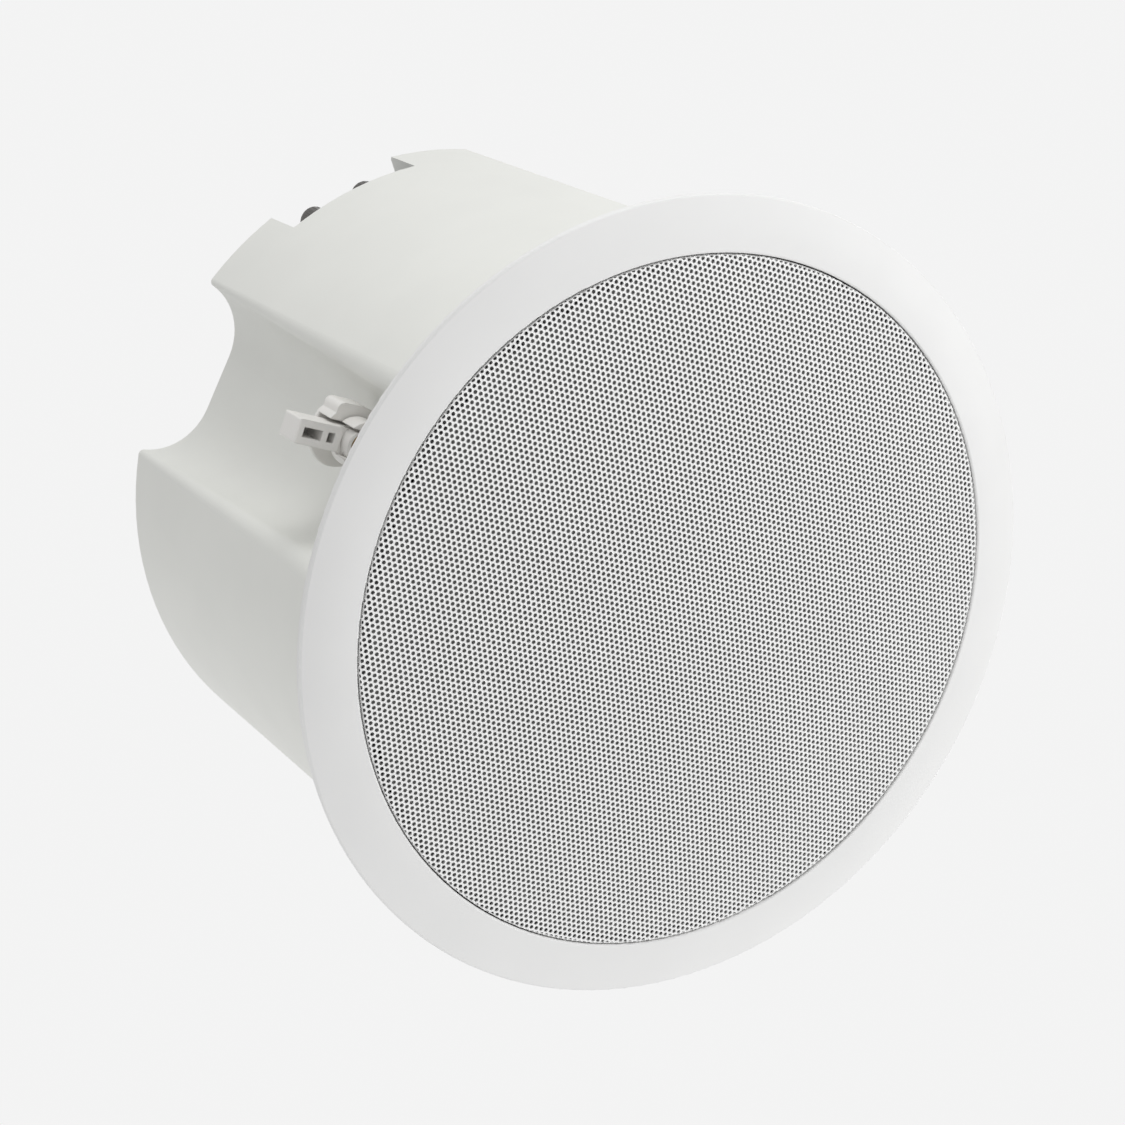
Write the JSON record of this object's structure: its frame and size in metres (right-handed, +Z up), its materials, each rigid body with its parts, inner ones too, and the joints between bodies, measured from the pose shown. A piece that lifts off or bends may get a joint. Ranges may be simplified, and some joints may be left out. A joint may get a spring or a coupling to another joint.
{
  "type": "in ceiling speaker",
  "caption": "Round flush-mount ceiling loudspeaker with a domed perforated grille, a wide flange, a tapered back can with scalloped bays, swing-out dog clamps and a recessed terminal plate.",
  "frame": {"origin": "centre of the flange's seat, where the ceiling's face lies", "axes": "+Z up into the ceiling void along the speaker's axis, the grille faces -Z, +Y towards the terminal recess"},
  "size_m": [0.2772, 0.2772, 0.1894],
  "materials": {
    "white_moulding": "satin white moulding",
    "can_plastic": "satin warm white moulding",
    "grille_paint": "white powder coat on perforated sheet",
    "cloth": "grey acoustic cloth",
    "seal": "foam rubber",
    "zinc_steel": "bright zinc plate",
    "basket_paint": "black paint on pressed steel",
    "surround_rubber": "butyl rubber",
    "cone_plastic": "dark polypropylene",
    "former": "thin bright sheet",
    "coil_wire": "enamelled copper wire",
    "spider_cloth": "resin-dipped cotton",
    "ferrite": "dark grey ferrite",
    "tweeter_plastic": "black moulding",
    "dome_silk": "coated silk",
    "board": "green laminate",
    "film": "yellow film wrap",
    "ceramic": "white ceramic",
    "lead": "red insulated wire",
    "terminal_black": "black moulding",
    "nickel": "nickel plate",
    "clamp_plastic": "off-white glass-filled nylon",
    "bush_brass": "turned brass"
  },
  "bodies": {
    "speaker": {"bezel_baffle": "white_moulding", "back_can": "can_plastic", "grille": "grille_paint", "grille_cloth": "cloth", "can_seal": "seal", "woofer_gasket": "seal", "can_screws": "zinc_steel", "basket_screws": "zinc_steel", "board_screws": "zinc_steel", "plate_screws": "zinc_steel", "tweeter_post": "zinc_steel", "post_nut": "zinc_steel", "top_plate": "zinc_steel", "back_plate": "zinc_steel", "woofer_basket": "basket_paint", "surround": "surround_rubber", "inductor": "coil_wire", "spider": "spider_cloth", "magnet": "ferrite", "tweeter_magnet": "ferrite", "tweeter_housing": "tweeter_plastic", "tweeter_face": "tweeter_plastic", "tweeter_dome": "dome_silk", "crossover_board": "board", "capacitors": "film", "resistor": "ceramic", "input_leads": "lead", "driver_leads": "lead", "terminal_plate": "terminal_black", "terminal_stud_1": "nickel", "terminal_stud_2": "nickel", "back_nuts": "nickel"},
    "cone": {"cone": "cone_plastic", "coil_former": "former", "voice_coil": "coil_wire"},
    "clamp_1_screw": {"clamp_screw_1": "zinc_steel", "clamp_ring_1": "zinc_steel"},
    "clamp_1_bush": {"clamp_bush_1": "bush_brass"},
    "clamp_1_dog": {"clamp_dog_1": "clamp_plastic"},
    "clamp_2_screw": {"clamp_screw_2": "zinc_steel", "clamp_ring_2": "zinc_steel"},
    "clamp_2_bush": {"clamp_bush_2": "bush_brass"},
    "clamp_2_dog": {"clamp_dog_2": "clamp_plastic"},
    "clamp_3_screw": {"clamp_screw_3": "zinc_steel", "clamp_ring_3": "zinc_steel"},
    "clamp_3_bush": {"clamp_bush_3": "bush_brass"},
    "clamp_3_dog": {"clamp_dog_3": "clamp_plastic"},
    "clamp_4_screw": {"clamp_screw_4": "zinc_steel", "clamp_ring_4": "zinc_steel"},
    "clamp_4_bush": {"clamp_bush_4": "bush_brass"},
    "clamp_4_dog": {"clamp_dog_4": "clamp_plastic"},
    "terminal_1_nut": {"terminal_nut_1": "nickel"},
    "terminal_2_nut": {"terminal_nut_2": "nickel"}
  },
  "joints": [
    {"name": "cone_stroke", "type": "slide", "parent": "speaker", "child": "cone", "axis": [0, 0, 1], "range_m": [-0.004, 0.004], "stiffness_N_per_m": 2000, "deforming": ["surround", "spider"]},
    {"name": "clamp_turn_1", "type": "hinge", "parent": "speaker", "child": "clamp_1_screw", "pos_m": [0.07014, 0.08301, 0], "axis": [0, 0, 1], "range_deg": [-30, 4710]},
    {"name": "clamp_travel_1", "type": "slide", "parent": "speaker", "child": "clamp_1_bush", "axis": [0, 0, 1], "range_m": [-0.026, 0]},
    {"name": "clamp_swing_1", "type": "hinge", "parent": "clamp_1_bush", "child": "clamp_1_dog", "pos_m": [0.07014, 0.08301, 0.05], "axis": [0, 0, 1], "range_deg": [-84, 6]},
    {"name": "clamp_turn_2", "type": "hinge", "parent": "speaker", "child": "clamp_2_screw", "pos_m": [-0.08301, 0.07014, 0], "axis": [0, 0, 1], "range_deg": [-30, 4710]},
    {"name": "clamp_travel_2", "type": "slide", "parent": "speaker", "child": "clamp_2_bush", "axis": [0, 0, 1], "range_m": [-0.026, 0]},
    {"name": "clamp_swing_2", "type": "hinge", "parent": "clamp_2_bush", "child": "clamp_2_dog", "pos_m": [-0.08301, 0.07014, 0.05], "axis": [0, 0, 1], "range_deg": [-84, 6]},
    {"name": "clamp_turn_3", "type": "hinge", "parent": "speaker", "child": "clamp_3_screw", "pos_m": [-0.07014, -0.08301, 0], "axis": [0, 0, 1], "range_deg": [-30, 4710]},
    {"name": "clamp_travel_3", "type": "slide", "parent": "speaker", "child": "clamp_3_bush", "axis": [0, 0, 1], "range_m": [-0.026, 0]},
    {"name": "clamp_swing_3", "type": "hinge", "parent": "clamp_3_bush", "child": "clamp_3_dog", "pos_m": [-0.07014, -0.08301, 0.05], "axis": [0, 0, 1], "range_deg": [-84, 6]},
    {"name": "clamp_turn_4", "type": "hinge", "parent": "speaker", "child": "clamp_4_screw", "pos_m": [0.08301, -0.07014, 0], "axis": [0, 0, 1], "range_deg": [-30, 4710]},
    {"name": "clamp_travel_4", "type": "slide", "parent": "speaker", "child": "clamp_4_bush", "axis": [0, 0, 1], "range_m": [-0.026, 0]},
    {"name": "clamp_swing_4", "type": "hinge", "parent": "clamp_4_bush", "child": "clamp_4_dog", "pos_m": [0.08301, -0.07014, 0.05], "axis": [0, 0, 1], "range_deg": [-84, 6]},
    {"name": "terminal_turn_1", "type": "hinge", "parent": "speaker", "child": "terminal_1_nut", "pos_m": [-0.0105, 0.1024, 0.165], "axis": [0, 0, 1], "continuous": true},
    {"name": "terminal_turn_2", "type": "hinge", "parent": "speaker", "child": "terminal_2_nut", "pos_m": [0.0105, 0.1024, 0.165], "axis": [0, 0, 1], "continuous": true}
  ],
  "couplings": [
    {"joint": "clamp_turn_1", "follows": "clamp_travel_1", "rad_per_m": -3141.6},
    {"joint": "clamp_turn_2", "follows": "clamp_travel_2", "rad_per_m": -3141.6},
    {"joint": "clamp_turn_3", "follows": "clamp_travel_3", "rad_per_m": -3141.6},
    {"joint": "clamp_turn_4", "follows": "clamp_travel_4", "rad_per_m": -3141.6}
  ]
}
